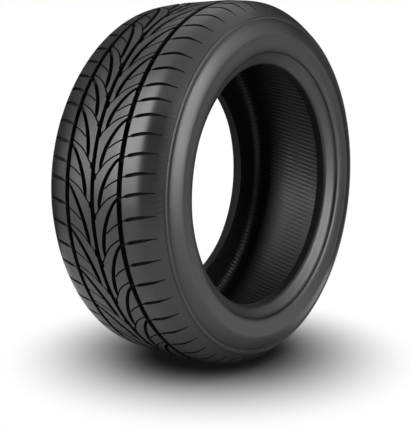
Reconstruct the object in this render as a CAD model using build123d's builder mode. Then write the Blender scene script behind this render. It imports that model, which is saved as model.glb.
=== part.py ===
"""A car tyre that stands upright on a small contact patch, with its axle along Y and its centre at the origin.

The section is revolved first. The directional tread is then cut into it: bent grooves that sweep from
each side groove towards the middle, and slots across both shoulders. The blocks come in three pitch
lengths in a mixed order, which is how a tyre spreads out its noise. The back half of the pattern is
the front half mirrored and turned on by half a slot.
"""

import math
import os

from build123d import *

# Overall size
outer_radius = 307.0
section_half = 124.0
bead_radius = 201.8

# Tread: the middle is level, and each shoulder falls away from the side groove to the tread's edge
tread_half = 89.5
shoulder_fall = 1.6
edge_fall = 6.2

# Grooves that run right round
spine_width = 8.0
side_groove_half = 52.5
side_groove_width = 8.2
groove_depth = 8.0

# Bent grooves: their start, bend and end as shares of a pitch, and distances from the middle
sweep_runs = (0.08, -0.40, -1.32)
sweep_middle = -0.62
sweep_halves = (side_groove_half, 29.5, 12.6)
sweep_widths = (5.2, 5.6, 6.4)
sweep_slant = 6.0

# Shoulder slots, two to a pitch
slot_width = 4.0
slot_lead = 8.5
slot_depth = 5.6
slot_end_rise = 0.8

# Pitches in their order round the tyre, and the turns that place the pattern
pitch_share = {"S": 1.0, "M": 1.17, "L": 1.39}
pitch_order = "LMSMMLLLL" + "LMLLSLLMLLLMLLSLMLLML"
first_turn = -33.9
back_turn = 3.0

# Sidewall: radii as shares of the section's height, and distances in from the widest place
buttress_share = 0.848
buttress_in = 20.5
line_share = 0.722
line_in = 9.6
upper_share = 0.556
upper_in = 2.0
widest_share = 0.379
lip_share = 0.204
lip_in = 1.6
recess_share = 0.121
recess_in = 14.0

# Bead and inside
heel_in = 22.5
bead_width = 15.0
wall = 14.0
crown_thickness = 18.0
inner_shoulder = 13.3
flank_top_share = 0.702
flank_foot_share = 0.215

# Flat pressed into the tread by the tyre's own weight
contact_depth = 1.4

# How far a cutter passes the surface that it cuts
over = 6.0

section_height = outer_radius - bead_radius
groove_near = side_groove_half - side_groove_width / 2
groove_far = side_groove_half + side_groove_width / 2
groove_floor = outer_radius - groove_depth
inner_half = section_half - wall
inner_radius = outer_radius - crown_thickness


def height(share):
    """Radius at a share of the section's height above the bead."""
    return bead_radius + share * section_height


# Points of the back half of the section, from the middle of the tread out and back along the inside
half_section = [
    (spine_width / 2, groove_floor),
    (spine_width / 2, outer_radius),
    (groove_near, outer_radius),
    (groove_near, groove_floor),
    (groove_far, groove_floor),
    (groove_far, outer_radius - shoulder_fall),
    (tread_half, outer_radius - edge_fall),
    (section_half - buttress_in, height(buttress_share)),
    (section_half - line_in, height(line_share)),
    (section_half - upper_in, height(upper_share)),
    (section_half, height(widest_share)),
    (section_half - lip_in, height(lip_share)),
    (section_half - recess_in, height(recess_share)),
    (section_half - heel_in, bead_radius),
    (section_half - heel_in - bead_width, bead_radius),
    (inner_half, height(flank_foot_share)),
    (inner_half, height(flank_top_share)),
    (inner_half - inner_shoulder, inner_radius),
]
section = half_section + [(-y, r) for y, r in reversed(half_section)]

share_total = sum(pitch_share[kind] for kind in pitch_order)
turn_per_share = 360 / share_total
length_per_share = 2 * math.pi * outer_radius / share_total


def sweep_cutter(pitch):
    """Bent groove of the front half, drawn at the top of the tyre about the middle of its run."""
    near_edge = []
    far_edge = []
    for run, half, width in zip(sweep_runs, sweep_halves, sweep_widths):
        along = (run - sweep_middle) * pitch
        near_edge.append((along, width / 2 - half))
        far_edge.append((along, -width / 2 - half))
    far_edge[-1] = (far_edge[-1][0] + sweep_slant, far_edge[-1][1])
    with BuildPart() as cutter:
        with BuildSketch(Plane.XY.offset(outer_radius + over)):
            with BuildLine():
                Polyline(*near_edge, *reversed(far_edge), close=True)
            make_face()
        extrude(amount=-over - groove_depth)
    return cutter.part


def slot_cutter():
    """Slot across the front shoulder, turned on from the top of the tyre by its lead."""
    turn = math.degrees(slot_width / outer_radius)
    with BuildPart() as cutter:
        with BuildSketch(Plane.YZ):
            with BuildLine():
                Polyline(
                    (-side_groove_half, outer_radius + over),
                    (-side_groove_half, outer_radius - shoulder_fall - slot_depth),
                    (-groove_far, outer_radius - shoulder_fall - slot_depth),
                    (-section_half + buttress_in, height(buttress_share) + slot_end_rise),
                    (-section_half + buttress_in, outer_radius + over),
                    close=True,
                )
            make_face()
        revolve(axis=Axis.Y, revolution_arc=turn)
    return Rot(0, math.degrees(slot_lead / outer_radius) - turn / 2, 0) * cutter.part


slot = slot_cutter()
sweeps = {kind: sweep_cutter(share * length_per_share) for kind, share in pitch_share.items()}

cutters = []
turn = first_turn
for kind in pitch_order:
    pitch_turn = pitch_share[kind] * turn_per_share
    for piece, piece_turn in (
        (sweeps[kind], turn + sweep_middle * pitch_turn),
        (slot, turn),
        (slot, turn - pitch_turn / 2),
    ):
        cutters.append(Rot(0, piece_turn, 0) * piece)
        cutters.append(Rot(0, piece_turn + back_turn, 0) * mirror(piece, about=Plane.XZ))
    turn -= pitch_turn

with BuildPart() as tyre:
    with BuildSketch(Plane.YZ):
        with BuildLine():
            Polyline(*section, close=True)
        make_face()
    revolve(axis=Axis.Y)
    add(cutters, mode=Mode.SUBTRACT)
    with Locations((0, 0, -outer_radius)):
        Box(outer_radius, 2 * section_half, 2 * contact_depth, mode=Mode.SUBTRACT)

os.makedirs("parts", exist_ok=True)
tyre.part.label = "tyre"
export_step(tyre.part, "parts/tyre.step")
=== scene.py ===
"""Looks for the car tyre: its full tread and sidewall, four rubbers (one darker as painted shade in the cuts
and on the bead seat), a pale floor and soft light.
"""

import math

import bmesh
import bpy
import numpy as np
from mathutils import Matrix, Vector, kdtree
from mathutils.geometry import delaunay_2d_cdt


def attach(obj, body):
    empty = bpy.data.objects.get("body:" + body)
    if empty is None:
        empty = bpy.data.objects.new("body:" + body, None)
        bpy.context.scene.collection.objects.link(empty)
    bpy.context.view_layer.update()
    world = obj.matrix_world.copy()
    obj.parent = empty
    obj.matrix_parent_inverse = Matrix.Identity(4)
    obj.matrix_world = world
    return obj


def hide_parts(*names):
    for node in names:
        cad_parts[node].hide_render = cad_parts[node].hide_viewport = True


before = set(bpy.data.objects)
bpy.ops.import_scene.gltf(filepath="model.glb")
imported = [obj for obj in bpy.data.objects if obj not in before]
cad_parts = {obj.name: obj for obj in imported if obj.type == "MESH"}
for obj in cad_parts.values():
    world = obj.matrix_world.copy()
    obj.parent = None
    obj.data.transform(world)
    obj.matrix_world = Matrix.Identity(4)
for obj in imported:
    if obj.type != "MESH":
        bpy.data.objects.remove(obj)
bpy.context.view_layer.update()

# Form, in millimetres
OUTER_RADIUS = 307.0
LINER_RADIUS = 289.0
GROOVE_FLOOR = 299.0
CONTACT_DEPTH = 1.4
STEPS = 360

# Tread surface of one half from the middle to the raised line, as (distance from the middle, radius)
TREAD_LINE = [
    (0, OUTER_RADIUS), (40, OUTER_RADIUS), (56.6, 305.8), (76, 304.0),
    (88, 301.0), (98, 294.9), (107, 287.4), (113.6, 279.9),
]
TREAD_PIECES = 4

# The rest of that half in stretches, each with how finely it is rounded. A stretch starts where the one
# before it ends: raised line, channel, upper and lower sidewall, lip and flange, bead seat, inside, crown.
WALL_LINE = [
    (2, [(115.2, 280.3), (116.4, 279.2), (116.3, 278.0), (114.7, 276.9)]),
    (1, [(114.9, 274.0), (116.9, 272.4)]),
    (3, [(119.8, 266.6), (122.7, 257.2), (123.9, 250.2), (123.5, 246.6), (122.8, 240.0)]),
    (3, [(122.0, 232.5), (120.9, 226.5), (119.4, 222.9), (117.6, 221.4)]),
    (3, [(115.4, 220.8), (112.6, 218.6), (110.0, 214.4), (107.4, 209.2), (104.6, 204.4), (100.5, 201.8)]),
]
SEAT_LINE = [(2, [(88.2, 201.5), (86.6, 202.6)])]
LINER_LINE = [
    (2, [(90.4, 207.5), (99.5, 216.5), (107, 225), (110, 239), (110, 259), (106.8, 275), (97, 286),
         (84, LINER_RADIUS)]),
    (4, [(0, LINER_RADIUS)]),
]

# Tread pattern: pitches round the tyre and turns in degrees, then each cut's line. Sweeps, sipes and notches
# run in shares of a pitch and slots in millimetres. A point gives that run, the distance across and, for
# sweeps and slots, the width. A notch is its own outline.
PITCH_SHARE = {"S": 1.0, "M": 1.17, "L": 1.39}
PITCH_ORDER = "LMSMMLLLL" + "LMLLSLLMLLLMLLSLMLLML"
FIRST_TURN = -33.9
BACK_TURN = 3.0
SPINE_HALF = 4.0
SIDE_GROOVE = (47.9, 57.1)
SWEEP = [
    (0.06, 52.5, 4.8), (-0.10, 41.5, 5.4), (-0.40, 29.5, 6.6),
    (-0.75, 20.0, 7.4), (-1.09, 14.8, 7.6), (-1.34, 12.4, 2.2),
]
SIPE_WIDTH = 2.4
SHORT_SIPE = [(-0.50, 50.0), (-0.62, 36.0), (-0.76, 24.5)]
LONG_SIPE = [(-0.84, 50.0), (-0.99, 33.0), (-1.13, 22.0), (-1.32, 12.4), (-1.51, 3.0)]
NOTCH = [(-1.38, 3.0), (-1.38, 4.6), (-1.46, 7.4), (-1.54, 7.0), (-1.60, 3.0)]
SLOT_CUT = [
    (2.6, 53.0, 2.2), (4.8, 60.5, 2.6), (6.4, 65.5, 5.2), (9.0, 76.0, 5.4),
    (10.8, 85.0, 5.2), (11.6, 92.0, 4.2), (12.4, 100.0, 2.6), (12.9, 110.0, 1.6),
]

# Kinds of surface. The first four make up the tread, and of two cuts that cross, the higher rank stays.
TOP, GROOVE, SLOT, SIPE, WALL, SEAT, LINER = range(7)
TREAD_KINDS = (TOP, GROOVE, SLOT, SIPE)
CUT_RANK = np.array([0, 3, 2, 1])

# Depth of cuts below the tread surface: (distance across, depth) for slots
SLOT_DEPTH = [(50, 3.2), (61.5, 3.2), (67, 5.6), (91, 5.0), (102, 1.8), (114, 0.6)]
SIPE_DEPTH = 5.0

# Fineness of the tread's mesh: the longest step along a cut, the pieces between two points of its line, and
# the rows of points that fill the tread between cuts, with how near a cut they come
CUT_STEP = 6.0
RIBBON_PIECES = 3
FILL_ROWS = [9, 15, 21, 27, 33, 39, 44, 61, 66, 71, 76, 81, 85, 88, 91, 94, 97, 101, 105, 110, 115, 119]
FILL_CLEAR = 1.8

# Points nearer than this are one, in metres, and edges sharper than this stay sharp, in degrees
MERGE_DISTANCE = 2e-5
SHARP_ANGLE = 32


def curve(points, pieces):
    """Smooth line through points, with each stretch between two of them in so many pieces."""
    points = np.array(points, float)
    ends = np.vstack([2 * points[0] - points[1], points, 2 * points[-1] - points[-2]])
    out = [points[0]]
    for before, start, end, after in zip(ends, ends[1:], ends[2:], ends[3:]):
        for t in np.arange(1, pieces + 1) / pieces:
            bend = 2 * before - 5 * start + 4 * end - after
            twist = 3 * start - before - 3 * end + after
            out.append(start + 0.5 * t * ((end - before) + t * (bend + t * twist)))
    return np.array(out)


class Profile:
    """The tread surface of one half by distance along its line from the middle."""

    def __init__(self, points):
        self.points = points
        steps = np.linalg.norm(np.diff(self.points, axis=0), axis=1)
        self.along = np.concatenate([[0.0], np.cumsum(steps)])
        slopes = np.diff(self.points, axis=0) / steps[:, None]
        corners = np.vstack([slopes[:1], (slopes[1:] + slopes[:-1]) / 2, slopes[-1:]])
        self.normals = np.column_stack([-corners[:, 1], corners[:, 0]])
        self.normals /= np.linalg.norm(self.normals, axis=1)[:, None]
        self.length = self.along[-1]

    def at(self, distance):
        """Distance from the middle, radius and normal at distances along the line."""
        across = [np.interp(distance, self.along, column) for column in self.points.T]
        normal = [np.interp(distance, self.along, column) for column in self.normals.T]
        return np.array(across).T, np.array(normal).T


def cut_depth(kind, across, radius):
    """How deep a kind of tread surface lies under the uncut tread."""
    if kind == GROOVE:
        return radius - GROOVE_FLOOR
    if kind == SLOT:
        return np.interp(across, *zip(*SLOT_DEPTH))
    if kind == SIPE:
        return np.full_like(across, SIPE_DEPTH)
    return np.zeros_like(across)


def ribbon(points, run_scale):
    """Closed outline of a strip about a smooth line of runs, distances across and widths."""
    points = curve(points, RIBBON_PIECES)
    line = points[:, :2] * (run_scale, 1)
    half = points[:, 2:] / 2
    run = np.gradient(line, axis=0)
    side = np.column_stack([-run[:, 1], run[:, 0]]) / np.linalg.norm(run, axis=1)[:, None]
    return np.vstack([line + side * half, (line - side * half)[::-1]])


def sipe(points, run_scale):
    """Closed outline of a sipe about its line."""
    return ribbon([(*point, SIPE_WIDTH) for point in points], run_scale)


def fine(outline, step):
    """Outline with points added so that none is further than a step from the next."""
    out = []
    for a, b in zip(outline, np.roll(outline, -1, axis=0)):
        count = max(1, math.ceil(np.linalg.norm(b - a) / step))
        out += [a + (b - a) * k / count for k in range(count)]
    return np.array(out)


def tread_cuts():
    """(kind, outline in turn and distance across) of every cut of one half's pattern."""
    total = sum(PITCH_SHARE[kind] for kind in PITCH_ORDER)
    per_turn = math.radians(1) * OUTER_RADIUS
    slot = ribbon(SLOT_CUT, 1)
    cuts = []
    turn = FIRST_TURN
    for kind in PITCH_ORDER:
        pitch_turn = 360 * PITCH_SHARE[kind] / total
        pitch = pitch_turn * per_turn
        for cut, outline, start in (
            (GROOVE, ribbon(SWEEP, pitch), turn),
            (SIPE, sipe(SHORT_SIPE, pitch), turn),
            (SIPE, sipe(LONG_SIPE, pitch), turn),
            (GROOVE, np.array(NOTCH) * (pitch, 1), turn),
            (SLOT, slot, turn),
            (SLOT, slot, turn - pitch_turn / 2),
        ):
            run, across = fine(outline, CUT_STEP).T
            cuts.append((cut, np.column_stack([start + run / per_turn, across])))
        turn -= pitch_turn
    return cuts


def inside(points, outline):
    """Which points lie inside a closed outline."""
    found = np.zeros(len(points), bool)
    x, y = points.T
    for (ax, ay), (bx, by) in zip(outline, np.roll(outline, -1, axis=0)):
        crosses = (ay > y) != (by > y)
        if ay != by:
            found ^= crosses & (x < (bx - ax) * (y - ay) / (by - ay) + ax)
    return found


def to_plan(turn, across):
    """Flat spots, on a disc round the wheel's centre, for turns and distances across the tread."""
    angle = np.radians(turn)
    reach = OUTER_RADIUS + across
    return np.column_stack([reach * np.cos(angle), reach * np.sin(angle)])


def from_plan(spots):
    """Turns and distances across the tread of flat spots."""
    return np.degrees(np.arctan2(spots[:, 1], spots[:, 0])), np.hypot(*spots.T) - OUTER_RADIUS


def tread_plan(cuts, length):
    """Flat spots and triangles of one half's tread, in which every edge of a cut is an edge of triangles."""
    ring = np.arange(STEPS) * 360 / STEPS
    loops = [to_plan(ring, np.full(STEPS, across)) for across in (0.0, SPINE_HALF, *SIDE_GROOVE, length)]
    loops += [to_plan(*outline.T) for _, outline in cuts]
    edges = []
    start = 0
    for loop in loops:
        count = len(loop)
        edges += [(start + k, start + (k + 1) % count) for k in range(count)]
        start += count

    taken = kdtree.KDTree(start)
    for k, spot in enumerate(np.vstack(loops)):
        taken.insert((*spot, 0), k)
    taken.balance()
    fill = []
    for k, across in enumerate(FILL_ROWS):
        row = to_plan(ring[::2] + k % 2, np.full(STEPS // 2, float(across)))
        fill += [spot for spot in row if taken.find((*spot, 0))[2] > FILL_CLEAR]

    spots = [Vector(spot) for spot in np.vstack([*loops, fill])]
    spots, _, triangles, *_ = delaunay_2d_cdt(spots, edges, [], 0, 1e-4, False)
    return np.array(spots), np.array(triangles)


def tread_kinds(cuts, turn, across):
    """Kind of tread surface at each turn and distance across."""
    kinds = np.full(len(turn), TOP)
    for cut, outline in cuts:
        centre = outline[:, 0].mean()
        near = (turn - centre + 180) % 360 - 180 + centre
        where = np.column_stack([near, across])
        in_box = ((where >= outline.min(axis=0)) & (where <= outline.max(axis=0))).all(axis=1)
        found = np.flatnonzero(in_box)
        found = found[inside(where[found], outline)]
        kinds[found[CUT_RANK[kinds[found]] < CUT_RANK[cut]]] = cut
    in_side_groove = (across > SIDE_GROOVE[0]) & (across < SIDE_GROOVE[1])
    kinds[(across < SPINE_HALF) | in_side_groove] = GROOVE
    return kinds


def half_tread():
    """Vertices, faces and kinds of one half's tread: tops, floors and the walls between them."""
    profile = Profile(curve(TREAD_LINE, TREAD_PIECES))
    cuts = tread_cuts()
    spots, triangles = tread_plan(cuts, profile.length)
    turn, across = from_plan(spots)
    across[np.abs(across) < 1e-3] = 0
    triangles = triangles[across[triangles].max(axis=1) > 0.5]
    kinds = tread_kinds(cuts, *from_plan(spots[triangles].mean(axis=1)))
    place, normal = profile.at(across)
    depths = np.array([cut_depth(kind, across, place[:, 1]) for kind in TREAD_KINDS])
    index, verts = {}, []

    def vertex(spot, kind):
        """Number of the vertex where a kind of surface passes a spot."""
        if (spot, kind) not in index:
            index[spot, kind] = len(verts)
            y, r = place[spot] - normal[spot] * depths[kind, spot]
            angle = math.radians(turn[spot])
            verts.append((r * math.sin(angle), -y, r * math.cos(angle)))
        return index[spot, kind]

    faces, face_kinds = [], []
    beside, kinds_at = {}, {}
    for corners, kind in zip(triangles.tolist(), kinds.tolist()):
        faces.append([vertex(spot, kind) for spot in corners])
        face_kinds.append(kind)
        for a, b in zip(corners, corners[1:] + corners[:1]):
            beside[a, b] = kind
            kinds_at.setdefault(a, set()).add(kind)

    def steps_between(spot, first, last):
        """Kinds found at a spot whose depth lies between two others, from the first to the last."""
        low, high = sorted((depths[first, spot], depths[last, spot]))
        between = [k for k in kinds_at[spot] if k not in (first, last) and low < depths[k, spot] < high]
        return sorted(between, key=lambda k: abs(depths[k, spot] - depths[first, spot]))

    for (a, b), kind in beside.items():
        other = beside.get((b, a), kind)
        if other > kind:
            wall = [(b, kind), (a, kind)] + [(a, k) for k in steps_between(a, kind, other)]
            wall += [(a, other), (b, other)] + [(b, k) for k in steps_between(b, other, kind)]
            faces.append([vertex(*corner) for corner in wall])
            face_kinds.append(GROOVE)
    return np.array(verts), faces, face_kinds


def half_wall():
    """Vertices, faces and kinds of one half from the raised line round to the middle of the inside."""
    line = [TREAD_LINE[-1]]
    kinds_of_row = []
    for kind, stretches in ((WALL, WALL_LINE), (SEAT, SEAT_LINE), (LINER, LINER_LINE)):
        for pieces, points in stretches:
            line += curve([line[-1], *points], pieces)[1:].tolist()
        kinds_of_row += [kind] * (len(line) - 1 - len(kinds_of_row))
    angle = np.radians(np.arange(STEPS) * 360 / STEPS)
    rows = [np.column_stack([r * np.sin(angle), np.full(STEPS, -y), r * np.cos(angle)]) for y, r in line]
    faces, kinds = [], []
    for row, kind in enumerate(kinds_of_row):
        for k in range(STEPS):
            a, b = row * STEPS + k, row * STEPS + (k + 1) % STEPS
            faces.append([a, a + STEPS, b + STEPS, b])
            kinds.append(kind)
    return np.vstack(rows), faces, kinds


def back_half(verts):
    """Front half's vertices mirrored to the back and turned on."""
    turn = math.radians(BACK_TURN)
    x, y, z = verts.T
    turned_x = x * math.cos(turn) + z * math.sin(turn)
    turned_z = z * math.cos(turn) - x * math.sin(turn)
    return np.column_stack([turned_x, -y, turned_z])


def tyre_mesh():
    """One mesh of the whole tyre in metres, with a material number for each face."""
    verts, faces, kinds = [], [], []
    count = 0
    for half_verts, half_faces, half_kinds in (half_tread(), half_wall()):
        for mirrored in (False, True):
            verts.append(back_half(half_verts) if mirrored else half_verts)
            faces += [[count + k for k in (face[::-1] if mirrored else face)] for face in half_faces]
            kinds += half_kinds
            count += len(half_verts)
    verts = np.vstack(verts)
    verts[:, 2] = np.maximum(verts[:, 2], CONTACT_DEPTH - OUTER_RADIUS)
    mesh = bpy.data.meshes.new("tyre_rubber")
    mesh.from_pydata((verts / 1000).tolist(), [], faces)
    # The second rubber's darker colour is painted shade on the groove, slot and sipe floors, their walls and
    # the bead seat.
    slots = {TOP: 0, GROOVE: 1, SLOT: 1, SIPE: 1, SEAT: 1, WALL: 2, LINER: 3}
    mesh.polygons.foreach_set("material_index", [slots[kind] for kind in kinds])
    work = bmesh.new()
    work.from_mesh(mesh)
    bmesh.ops.remove_doubles(work, verts=work.verts, dist=MERGE_DISTANCE)
    bmesh.ops.recalc_face_normals(work, faces=work.faces)
    work.to_mesh(mesh)
    work.free()
    mesh.shade_smooth()
    mesh.set_sharp_from_angle(angle=math.radians(SHARP_ANGLE))
    return mesh


# Rubber: the scale and detail of each noise, and the height and strength of the grain
SMUDGE = (14, 6)
SMUDGE_ROUGHNESS = 0.05
SMUDGE_COLOUR = 0.12
GRAIN = (900, 3)
GRAIN_HEIGHT = 0.0004
GRAIN_STRENGTH = 0.2

# Fine ribs: their height, how far they turn for each metre across, in radians, how much their tops are
# polished, and the noise that wears them, squeezed across the tyre into bands
RIB_HEIGHT = 0.0005
RIB_SLANT = 0.9
RIB_POLISH = 0.25
WEAR = (3, 1)
WEAR_SQUEEZE = 10
WEAR_RANGE = (0.1, 1.1)


def rubber(name, base, roughness, specular, ribs, rib_strength, band):
    """Dark rubber with a fine grain, faint smudges and so many fine ribs on a band of radii."""
    material = bpy.data.materials.new(name)
    material.use_nodes = True
    nodes, links = material.node_tree.nodes, material.node_tree.links
    shader = nodes["Principled BSDF"]
    shader.inputs["Specular IOR Level"].default_value = specular
    coords = nodes.new("ShaderNodeTexCoord").outputs["Object"]

    def math_node(operation, *values):
        node = nodes.new("ShaderNodeMath")
        node.operation = operation
        for socket, value in zip(node.inputs, values):
            if isinstance(value, (int, float)):
                socket.default_value = value
            else:
                links.new(value, socket)
        return node.outputs["Value"]

    def noise(scale, detail, squeeze=1):
        squeezed = nodes.new("ShaderNodeVectorMath")
        squeezed.operation = "MULTIPLY"
        squeezed.inputs[1].default_value = (1, squeeze, 1)
        links.new(coords, squeezed.inputs[0])
        node = nodes.new("ShaderNodeTexNoise")
        node.inputs["Scale"].default_value = scale
        node.inputs["Detail"].default_value = detail
        links.new(squeezed.outputs["Vector"], node.inputs["Vector"])
        return node.outputs["Fac"]

    def spread(value, low, high):
        node = nodes.new("ShaderNodeMapRange")
        node.inputs["From Min"].default_value = 0.3
        node.inputs["From Max"].default_value = 0.7
        node.inputs["To Min"].default_value = low
        node.inputs["To Max"].default_value = high
        links.new(value, node.inputs["Value"])
        return node.outputs["Result"]

    def bump(height, strength, distance, normal=None):
        node = nodes.new("ShaderNodeBump")
        node.inputs["Strength"].default_value = strength
        node.inputs["Distance"].default_value = distance
        links.new(height, node.inputs["Height"])
        if normal:
            links.new(normal, node.inputs["Normal"])
        return node.outputs["Normal"]

    smudge = noise(*SMUDGE)
    grey = nodes.new("ShaderNodeCombineColor")
    for socket, level in zip(grey.inputs, base):
        links.new(spread(smudge, level * (1 - SMUDGE_COLOUR), level * (1 + SMUDGE_COLOUR)), socket)
    links.new(grey.outputs["Color"], shader.inputs["Base Color"])

    parts = nodes.new("ShaderNodeSeparateXYZ")
    links.new(coords, parts.inputs["Vector"])
    x, y, z = parts.outputs
    radius = math_node("SQRT", math_node("ADD", math_node("MULTIPLY", x, x), math_node("MULTIPLY", z, z)))
    turn = math_node("ADD", math_node("ARCTAN2", x, z), math_node("MULTIPLY", y, RIB_SLANT))
    wave = math_node("SINE", math_node("MULTIPLY", turn, ribs))
    off_band = math_node("ABSOLUTE", math_node("SUBTRACT", radius, (band[0] + band[1]) / 2))
    on_band = math_node("LESS_THAN", off_band, (band[1] - band[0]) / 2)
    wear = spread(noise(*WEAR, WEAR_SQUEEZE), *WEAR_RANGE)
    worn = math_node("MULTIPLY", math_node("MULTIPLY", wave, on_band), wear)

    smudged = spread(smudge, roughness - SMUDGE_ROUGHNESS, roughness + SMUDGE_ROUGHNESS)
    polished = math_node("MULTIPLY_ADD", worn, -RIB_POLISH * rib_strength, smudged)
    links.new(polished, shader.inputs["Roughness"])
    relief = bump(worn, rib_strength, RIB_HEIGHT)
    links.new(bump(noise(*GRAIN), GRAIN_STRENGTH, GRAIN_HEIGHT, relief), shader.inputs["Normal"])
    return material


# Tyre: name, colour, roughness, specular level, ribs round the tyre, their strength and their band in metres
SHOULDER_RIBS = (220, 0.2, (0.2805, 0.2875))
LIP_TICKS = (240, 0.25, (0.2255, 0.2340))
LINER_RIBS = (220, 0.5, (0.204, 0.300))
tyre = bpy.data.objects.new("tyre_rubber", tyre_mesh())
bpy.context.scene.collection.objects.link(tyre)
for rubber_kind in (
    ("tread_rubber", (0.016, 0.016, 0.0164), 0.33, 0.5, *SHOULDER_RIBS),
    # The groove rubber's colour, half the tread's, is painted shade in the cuts and on the bead seat.
    ("groove_rubber", (0.008, 0.008, 0.0082), 0.7, 0.12, *SHOULDER_RIBS),
    ("sidewall_rubber", (0.014, 0.014, 0.0143), 0.38, 0.47, *LIP_TICKS),
    ("liner_rubber", (0.008, 0.008, 0.0082), 0.42, 0.29, *LINER_RIBS),
):
    tyre.data.materials.append(rubber(*rubber_kind))
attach(tyre, "root")
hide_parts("tyre")

# Camera: fitted to the photo, aimed a little below the tyre's centre
AZIMUTH = math.radians(-53.83)
ELEVATION = math.radians(6.69)
DISTANCE = 1.4705
FOCAL = 840.0
FRAME_SIZE = (410, 431)
CENTRE_PIXEL = (216.19, 182.22)
SENSOR_HEIGHT = 36


def fitted_camera():
    """Camera turned so that the tyre's centre falls on its pixel."""
    back = Vector((
        math.sin(AZIMUTH) * math.cos(ELEVATION),
        -math.cos(AZIMUTH) * math.cos(ELEVATION),
        math.sin(ELEVATION),
    ))
    right = Vector((math.cos(AZIMUTH), math.sin(AZIMUTH), 0))
    up = back.cross(right)
    pan = math.atan((CENTRE_PIXEL[0] - FRAME_SIZE[0] / 2) / FOCAL)
    tilt = math.atan((FRAME_SIZE[1] / 2 - CENTRE_PIXEL[1]) / FOCAL)
    level = -back * math.cos(pan) - right * math.sin(pan)
    right = right * math.cos(pan) - back * math.sin(pan)
    ahead = level * math.cos(tilt) - up * math.sin(tilt)
    up = up * math.cos(tilt) + level * math.sin(tilt)
    data = bpy.data.cameras.new("camera")
    data.sensor_fit = "VERTICAL"
    data.sensor_height = SENSOR_HEIGHT
    data.lens = FOCAL * SENSOR_HEIGHT / FRAME_SIZE[1]
    camera = bpy.data.objects.new("camera", data)
    facing = Matrix((right, up, -ahead)).transposed().to_4x4()
    camera.matrix_world = Matrix.Translation(back * DISTANCE) @ facing
    bpy.context.scene.collection.objects.link(camera)
    bpy.context.scene.camera = camera


# Floor and light, in metres. The floor's shades are (start, end, least): by how open it is near the tyre, and
# by distance from the middle of the photo's round shadow.
FLOOR_LEVEL = (CONTACT_DEPTH - OUTER_RADIUS) / 1000 - 0.0005
OPEN_REACH = 0.5
OPEN_SHADE = (0.02, 0.5, 0.4)
ROUND_SHADE = (0.10, 0.38, 0.015)
SHADE_MIDDLE = (0.004, 0.014, FLOOR_LEVEL)
LIGHT_DISTANCE = 2.4


def seen_directly(nodes, links):
    """Socket that is 1 for what the camera sees, directly or by a mirror or glass."""
    ray = nodes.new("ShaderNodeLightPath")
    either = nodes.new("ShaderNodeMath")
    either.operation = "MAXIMUM"
    any_of = nodes.new("ShaderNodeMath")
    any_of.operation = "MAXIMUM"
    links.new(ray.outputs["Is Camera Ray"], either.inputs[0])
    links.new(ray.outputs["Is Glossy Ray"], either.inputs[1])
    links.new(either.outputs["Value"], any_of.inputs[0])
    links.new(ray.outputs["Is Transmission Ray"], any_of.inputs[1])
    return any_of.outputs["Value"]


def pale_floor():
    """White floor that darkens softly under the tyre."""
    bpy.ops.mesh.primitive_plane_add(size=60, location=(0, 0, FLOOR_LEVEL))
    floor = bpy.context.object
    floor.name = "floor"
    material = bpy.data.materials.new("floor")
    material.use_nodes = True
    nodes, links = material.node_tree.nodes, material.node_tree.links
    shader = nodes["Principled BSDF"]
    shader.inputs["Base Color"].default_value = (0.8, 0.8, 0.8, 1)
    shader.inputs["Roughness"].default_value = 0.7
    shader.inputs["Specular IOR Level"].default_value = 0.1
    openness = nodes.new("ShaderNodeAmbientOcclusion")
    openness.inputs["Distance"].default_value = OPEN_REACH
    openness.samples = 16
    place = nodes.new("ShaderNodeNewGeometry")
    away = nodes.new("ShaderNodeVectorMath")
    away.operation = "DISTANCE"
    away.inputs[1].default_value = SHADE_MIDDLE
    links.new(place.outputs["Position"], away.inputs[0])
    both = nodes.new("ShaderNodeMath")
    both.operation = "MULTIPLY"
    shades = ((openness.outputs["AO"], OPEN_SHADE), (away.outputs["Value"], ROUND_SHADE))
    for socket, (value, (start, end, least)) in zip(both.inputs, shades):
        shade = nodes.new("ShaderNodeMapRange")
        shade.interpolation_type = "SMOOTHSTEP"
        shade.inputs["From Min"].default_value = start
        shade.inputs["From Max"].default_value = end
        shade.inputs["To Min"].default_value = least
        links.new(value, shade.inputs["Value"])
        links.new(shade.outputs["Result"], socket)
    glow = nodes.new("ShaderNodeEmission")
    links.new(both.outputs["Value"], glow.inputs["Strength"])
    mix = nodes.new("ShaderNodeMixShader")
    links.new(seen_directly(nodes, links), mix.inputs["Fac"])
    links.new(shader.outputs["BSDF"], mix.inputs[1])
    links.new(glow.outputs["Emission"], mix.inputs[2])
    links.new(mix.outputs["Shader"], nodes["Material Output"].inputs["Surface"])
    floor.data.materials.append(material)


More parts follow.
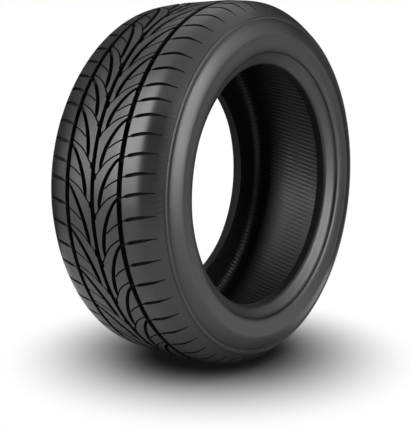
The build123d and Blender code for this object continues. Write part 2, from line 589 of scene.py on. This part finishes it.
def white_world(ambient):
    """White background that gives only a little light of its own."""
    world = bpy.data.worlds.new("studio")
    bpy.context.scene.world = world
    world.use_nodes = True
    nodes, links = world.node_tree.nodes, world.node_tree.links
    surround = nodes["Background"]
    surround.inputs["Color"].default_value = (1, 1, 1, 1)
    surround.inputs["Strength"].default_value = ambient
    white = nodes.new("ShaderNodeBackground")
    white.inputs["Color"].default_value = (1, 1, 1, 1)
    white.inputs["Strength"].default_value = 1
    mix = nodes.new("ShaderNodeMixShader")
    links.new(seen_directly(nodes, links), mix.inputs["Fac"])
    links.new(surround.outputs["Background"], mix.inputs[1])
    links.new(white.outputs["Background"], mix.inputs[2])
    links.new(mix.outputs["Shader"], nodes["World Output"].inputs["Surface"])


def around(azimuth, elevation, distance):
    """Place at an azimuth from +X and an elevation, in degrees."""
    azimuth, elevation = math.radians(azimuth), math.radians(elevation)
    flat = math.cos(elevation) * distance
    return Vector((flat * math.cos(azimuth), flat * math.sin(azimuth), math.sin(elevation) * distance))


def soft_light(name, azimuth, elevation, size, power):
    """Rectangular light that faces the tyre's centre."""
    data = bpy.data.lights.new(name, "AREA")
    data.shape = "RECTANGLE"
    data.size, data.size_y = size
    data.energy = power
    light = bpy.data.objects.new(name, data)
    light.location = around(azimuth, elevation, LIGHT_DISTANCE)
    light.rotation_euler = (-light.location).to_track_quat("-Z", "Y").to_euler()
    bpy.context.scene.collection.objects.link(light)


def dark_flag(name, azimuth, distance, size):
    """Black card on the floor, out of shot, that keeps the white surround out of the rubber's sheen."""
    place = around(azimuth, 0, distance)
    place.z = FLOOR_LEVEL + size[1] / 2
    bpy.ops.mesh.primitive_plane_add(size=1, location=place)
    flag = bpy.context.object
    flag.name = name
    flag.scale = (*size, 1)
    flag.rotation_euler = (math.radians(90), 0, math.radians(azimuth + 90))
    flag.visible_camera = False
    flag.visible_shadow = False
    material = bpy.data.materials.new(name)
    material.use_nodes = True
    shader = material.node_tree.nodes["Principled BSDF"]
    shader.inputs["Base Color"].default_value = (0.01, 0.01, 0.01, 1)
    shader.inputs["Roughness"].default_value = 0.9
    shader.inputs["Specular IOR Level"].default_value = 0
    flag.data.materials.append(material)


fitted_camera()
pale_floor()
white_world(0.06)
soft_light("left_softbox", 155.5, 27, (1.2, 2.6), 66)
soft_light("right_softbox", 277, 16, (1.7, 1.8), 72)
soft_light("back_softbox", 60, 30, (1.6, 1.2), 30)
dark_flag("camera_flag", 206, 1.6, (1.7, 1.6))
dark_flag("left_flag", 80, 0.6, (1.7, 1.2))
dark_flag("right_flag", 5, 0.6, (1.1, 1.2))

bpy.context.scene.view_settings.view_transform = "Standard"
